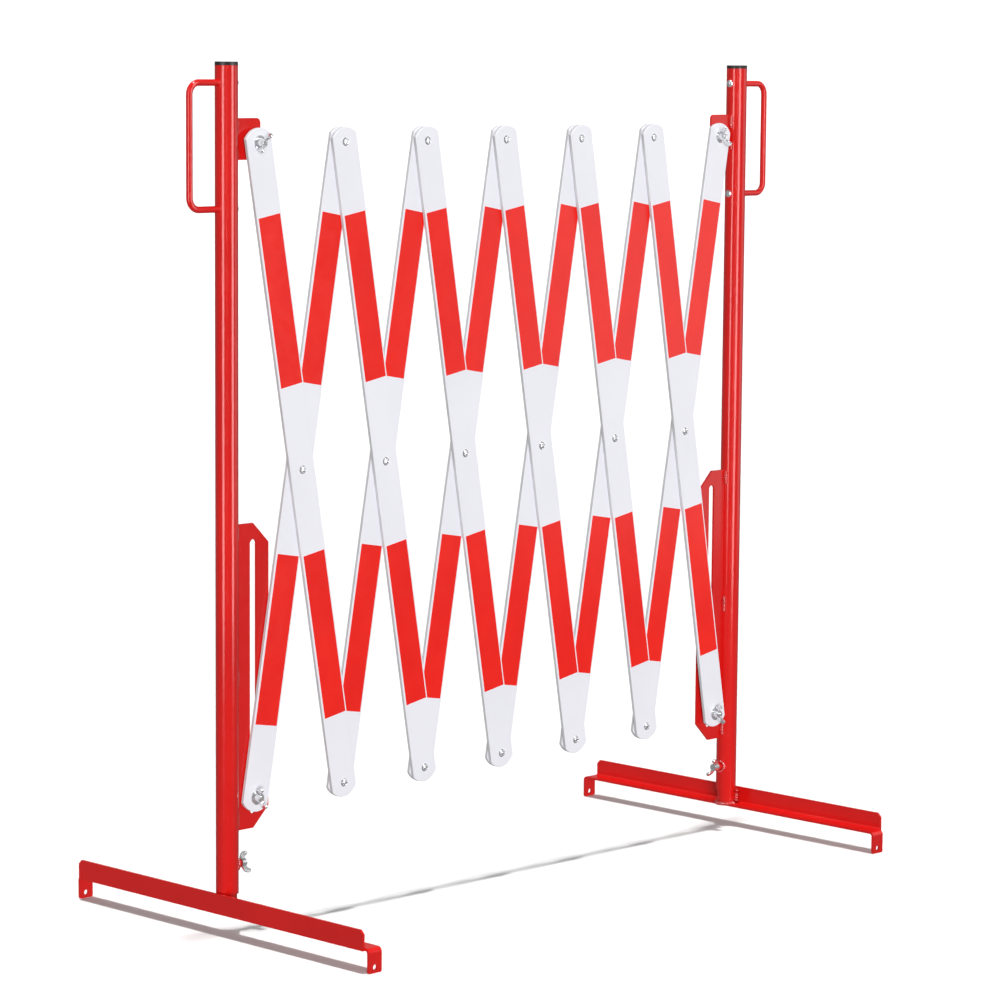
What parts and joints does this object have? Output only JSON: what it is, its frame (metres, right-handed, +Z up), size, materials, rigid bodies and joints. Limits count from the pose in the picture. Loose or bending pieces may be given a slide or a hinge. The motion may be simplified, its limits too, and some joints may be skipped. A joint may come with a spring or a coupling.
{
  "type": "expanding scissor barrier",
  "caption": "Free-standing expanding barrier: tube posts on angle feet with carrying handles, joined by a crossed slat lattice whose lower ends slide in slotted brackets.",
  "frame": {"origin": "centre of the bounding box on the floor, midway between the two posts", "axes": "+X along the barrier to the right-hand post, -Y out of the front face with the wing nuts, +Z up"},
  "size_m": [1.052, 0.536, 1.058],
  "materials": {
    "red_paint": "gloss red powder coat over welded steel",
    "black_plastic": "moulded black polyethylene",
    "zinc_plate": "bright zinc plated hardware",
    "white_slat": "white powder coat on flat aluminium bar",
    "red_film": "red retroreflective film",
    "rivet_steel": "bright domed rivet heads and washers"
  },
  "bodies": {
    "left_post": {"left_tube": "red_paint", "left_end_cap": "black_plastic", "left_handle": "red_paint", "left_handle_screws": "zinc_plate", "left_upper_bracket": "red_paint", "left_slotted_bracket": "red_paint", "left_clamp_nut": "red_paint", "left_top_bolt": "zinc_plate"},
    "left_foot": {"left_foot_angle": "red_paint", "left_spigot": "red_paint"},
    "left_clamp_screw": {"left_clamp_screw": "zinc_plate"},
    "left_top_wing_nut": {"left_top_wing_nut": "zinc_plate"},
    "left_bottom_wing_nut": {"left_bottom_wing_nut": "zinc_plate"},
    "front_slat_1": {"front_slat_1": "white_slat", "front_bands_1": "red_film", "pivot_rivets_1": "rivet_steel"},
    "rear_slat_1": {"rear_slat_1": "white_slat", "rear_bands_1": "red_film", "left_bottom_bolt": "zinc_plate"},
    "front_slat_2": {"front_slat_2": "white_slat", "front_bands_2": "red_film", "pivot_rivets_2": "rivet_steel"},
    "rear_slat_2": {"rear_slat_2": "white_slat", "rear_bands_2": "red_film"},
    "front_slat_3": {"front_slat_3": "white_slat", "front_bands_3": "red_film", "pivot_rivets_3": "rivet_steel"},
    "rear_slat_3": {"rear_slat_3": "white_slat", "rear_bands_3": "red_film"},
    "front_slat_4": {"front_slat_4": "white_slat", "front_bands_4": "red_film", "pivot_rivets_4": "rivet_steel"},
    "rear_slat_4": {"rear_slat_4": "white_slat", "rear_bands_4": "red_film"},
    "front_slat_5": {"front_slat_5": "white_slat", "front_bands_5": "red_film", "pivot_rivets_5": "rivet_steel"},
    "rear_slat_5": {"rear_slat_5": "white_slat", "rear_bands_5": "red_film"},
    "front_slat_6": {"front_slat_6": "white_slat", "front_bands_6": "red_film", "pivot_rivets_6": "rivet_steel", "right_bottom_bolt": "zinc_plate"},
    "rear_slat_6": {"rear_slat_6": "white_slat", "rear_bands_6": "red_film"},
    "right_post": {"right_tube": "red_paint", "right_end_cap": "black_plastic", "right_handle": "red_paint", "right_handle_screws": "zinc_plate", "right_upper_bracket": "red_paint", "right_slotted_bracket": "red_paint", "right_clamp_nut": "red_paint", "right_top_bolt": "zinc_plate"},
    "right_foot": {"right_foot_angle": "red_paint", "right_spigot": "red_paint"},
    "right_clamp_screw": {"right_clamp_screw": "zinc_plate"},
    "right_top_wing_nut": {"right_top_wing_nut": "zinc_plate"},
    "right_bottom_wing_nut": {"right_bottom_wing_nut": "zinc_plate"}
  },
  "joints": [
    {"name": "lattice_fold", "type": "hinge", "parent": "left_post", "child": "front_slat_1", "pos_m": [-0.423, 0, 0.9615], "axis": [0, -1, 0], "range_deg": [-6.8, 43]},
    {"name": "cross_pivot_1", "type": "hinge", "parent": "front_slat_1", "child": "rear_slat_1", "pos_m": [-0.3525, 0, 0.56268], "axis": [0, -1, 0], "range_deg": [-86.2, 13.8]},
    {"name": "top_pivot_1", "type": "hinge", "parent": "rear_slat_1", "child": "front_slat_2", "pos_m": [-0.282, 0, 0.9615], "axis": [0, -1, 0], "range_deg": [-13.8, 86.2]},
    {"name": "cross_pivot_2", "type": "hinge", "parent": "front_slat_2", "child": "rear_slat_2", "pos_m": [-0.2115, 0, 0.56268], "axis": [0, -1, 0], "range_deg": [-86.2, 13.8]},
    {"name": "top_pivot_2", "type": "hinge", "parent": "rear_slat_2", "child": "front_slat_3", "pos_m": [-0.141, 0, 0.9615], "axis": [0, -1, 0], "range_deg": [-13.8, 86.2]},
    {"name": "cross_pivot_3", "type": "hinge", "parent": "front_slat_3", "child": "rear_slat_3", "pos_m": [-0.0705, 0, 0.56268], "axis": [0, -1, 0], "range_deg": [-86.2, 13.8]},
    {"name": "top_pivot_3", "type": "hinge", "parent": "rear_slat_3", "child": "front_slat_4", "pos_m": [0, 0, 0.9615], "axis": [0, -1, 0], "range_deg": [-13.8, 86.2]},
    {"name": "cross_pivot_4", "type": "hinge", "parent": "front_slat_4", "child": "rear_slat_4", "pos_m": [0.0705, 0, 0.56268], "axis": [0, -1, 0], "range_deg": [-86.2, 13.8]},
    {"name": "top_pivot_4", "type": "hinge", "parent": "rear_slat_4", "child": "front_slat_5", "pos_m": [0.141, 0, 0.9615], "axis": [0, -1, 0], "range_deg": [-13.8, 86.2]},
    {"name": "cross_pivot_5", "type": "hinge", "parent": "front_slat_5", "child": "rear_slat_5", "pos_m": [0.2115, 0, 0.56268], "axis": [0, -1, 0], "range_deg": [-86.2, 13.8]},
    {"name": "top_pivot_5", "type": "hinge", "parent": "rear_slat_5", "child": "front_slat_6", "pos_m": [0.282, 0, 0.9615], "axis": [0, -1, 0], "range_deg": [-13.8, 86.2]},
    {"name": "cross_pivot_6", "type": "hinge", "parent": "front_slat_6", "child": "rear_slat_6", "pos_m": [0.3525, 0, 0.56268], "axis": [0, -1, 0], "range_deg": [-86.2, 13.8]},
    {"name": "right_post_pivot", "type": "hinge", "parent": "rear_slat_6", "child": "right_post", "pos_m": [0.423, 0, 0.9615], "axis": [0, -1, 0], "range_deg": [-7, 43.2]},
    {"name": "left_foot_swivel", "type": "hinge", "parent": "left_post", "child": "left_foot", "pos_m": [-0.464, 0, 0.05], "axis": [0, 0, 1], "range_deg": [-35, 35]},
    {"name": "left_clamp_screw_turn", "type": "hinge", "parent": "left_post", "child": "left_clamp_screw", "pos_m": [-0.434, 0, 0.084], "axis": [1, 0, 0], "continuous": true},
    {"name": "left_top_nut_turn", "type": "hinge", "parent": "left_post", "child": "left_top_wing_nut", "pos_m": [-0.423, -0.02, 0.9615], "axis": [0, 1, 0], "continuous": true},
    {"name": "right_foot_swivel", "type": "hinge", "parent": "right_post", "child": "right_foot", "pos_m": [0.464, 0, 0.05], "axis": [0, 0, 1], "range_deg": [-35, 35]},
    {"name": "right_clamp_screw_turn", "type": "hinge", "parent": "right_post", "child": "right_clamp_screw", "pos_m": [0.434, 0, 0.084], "axis": [1, 0, 0], "continuous": true},
    {"name": "right_top_nut_turn", "type": "hinge", "parent": "right_post", "child": "right_top_wing_nut", "pos_m": [0.423, -0.02, 0.9615], "axis": [0, 1, 0], "continuous": true},
    {"name": "left_bottom_nut_turn", "type": "hinge", "parent": "rear_slat_1", "child": "left_bottom_wing_nut", "pos_m": [-0.423, -0.02, 0.16387], "axis": [0, 1, 0], "continuous": true},
    {"name": "right_bottom_nut_turn", "type": "hinge", "parent": "front_slat_6", "child": "right_bottom_wing_nut", "pos_m": [0.423, -0.02, 0.16387], "axis": [0, 1, 0], "continuous": true}
  ],
  "couplings": [
    {"joint": "cross_pivot_1", "follows": "lattice_fold", "ratio": -2},
    {"joint": "top_pivot_1", "follows": "lattice_fold", "ratio": 2},
    {"joint": "cross_pivot_2", "follows": "lattice_fold", "ratio": -2},
    {"joint": "top_pivot_2", "follows": "lattice_fold", "ratio": 2},
    {"joint": "cross_pivot_3", "follows": "lattice_fold", "ratio": -2},
    {"joint": "top_pivot_3", "follows": "lattice_fold", "ratio": 2},
    {"joint": "cross_pivot_4", "follows": "lattice_fold", "ratio": -2},
    {"joint": "top_pivot_4", "follows": "lattice_fold", "ratio": 2},
    {"joint": "cross_pivot_5", "follows": "lattice_fold", "ratio": -2},
    {"joint": "top_pivot_5", "follows": "lattice_fold", "ratio": 2},
    {"joint": "cross_pivot_6", "follows": "lattice_fold", "ratio": -2},
    {"joint": "right_post_pivot", "follows": "lattice_fold", "ratio": 1}
  ]
}
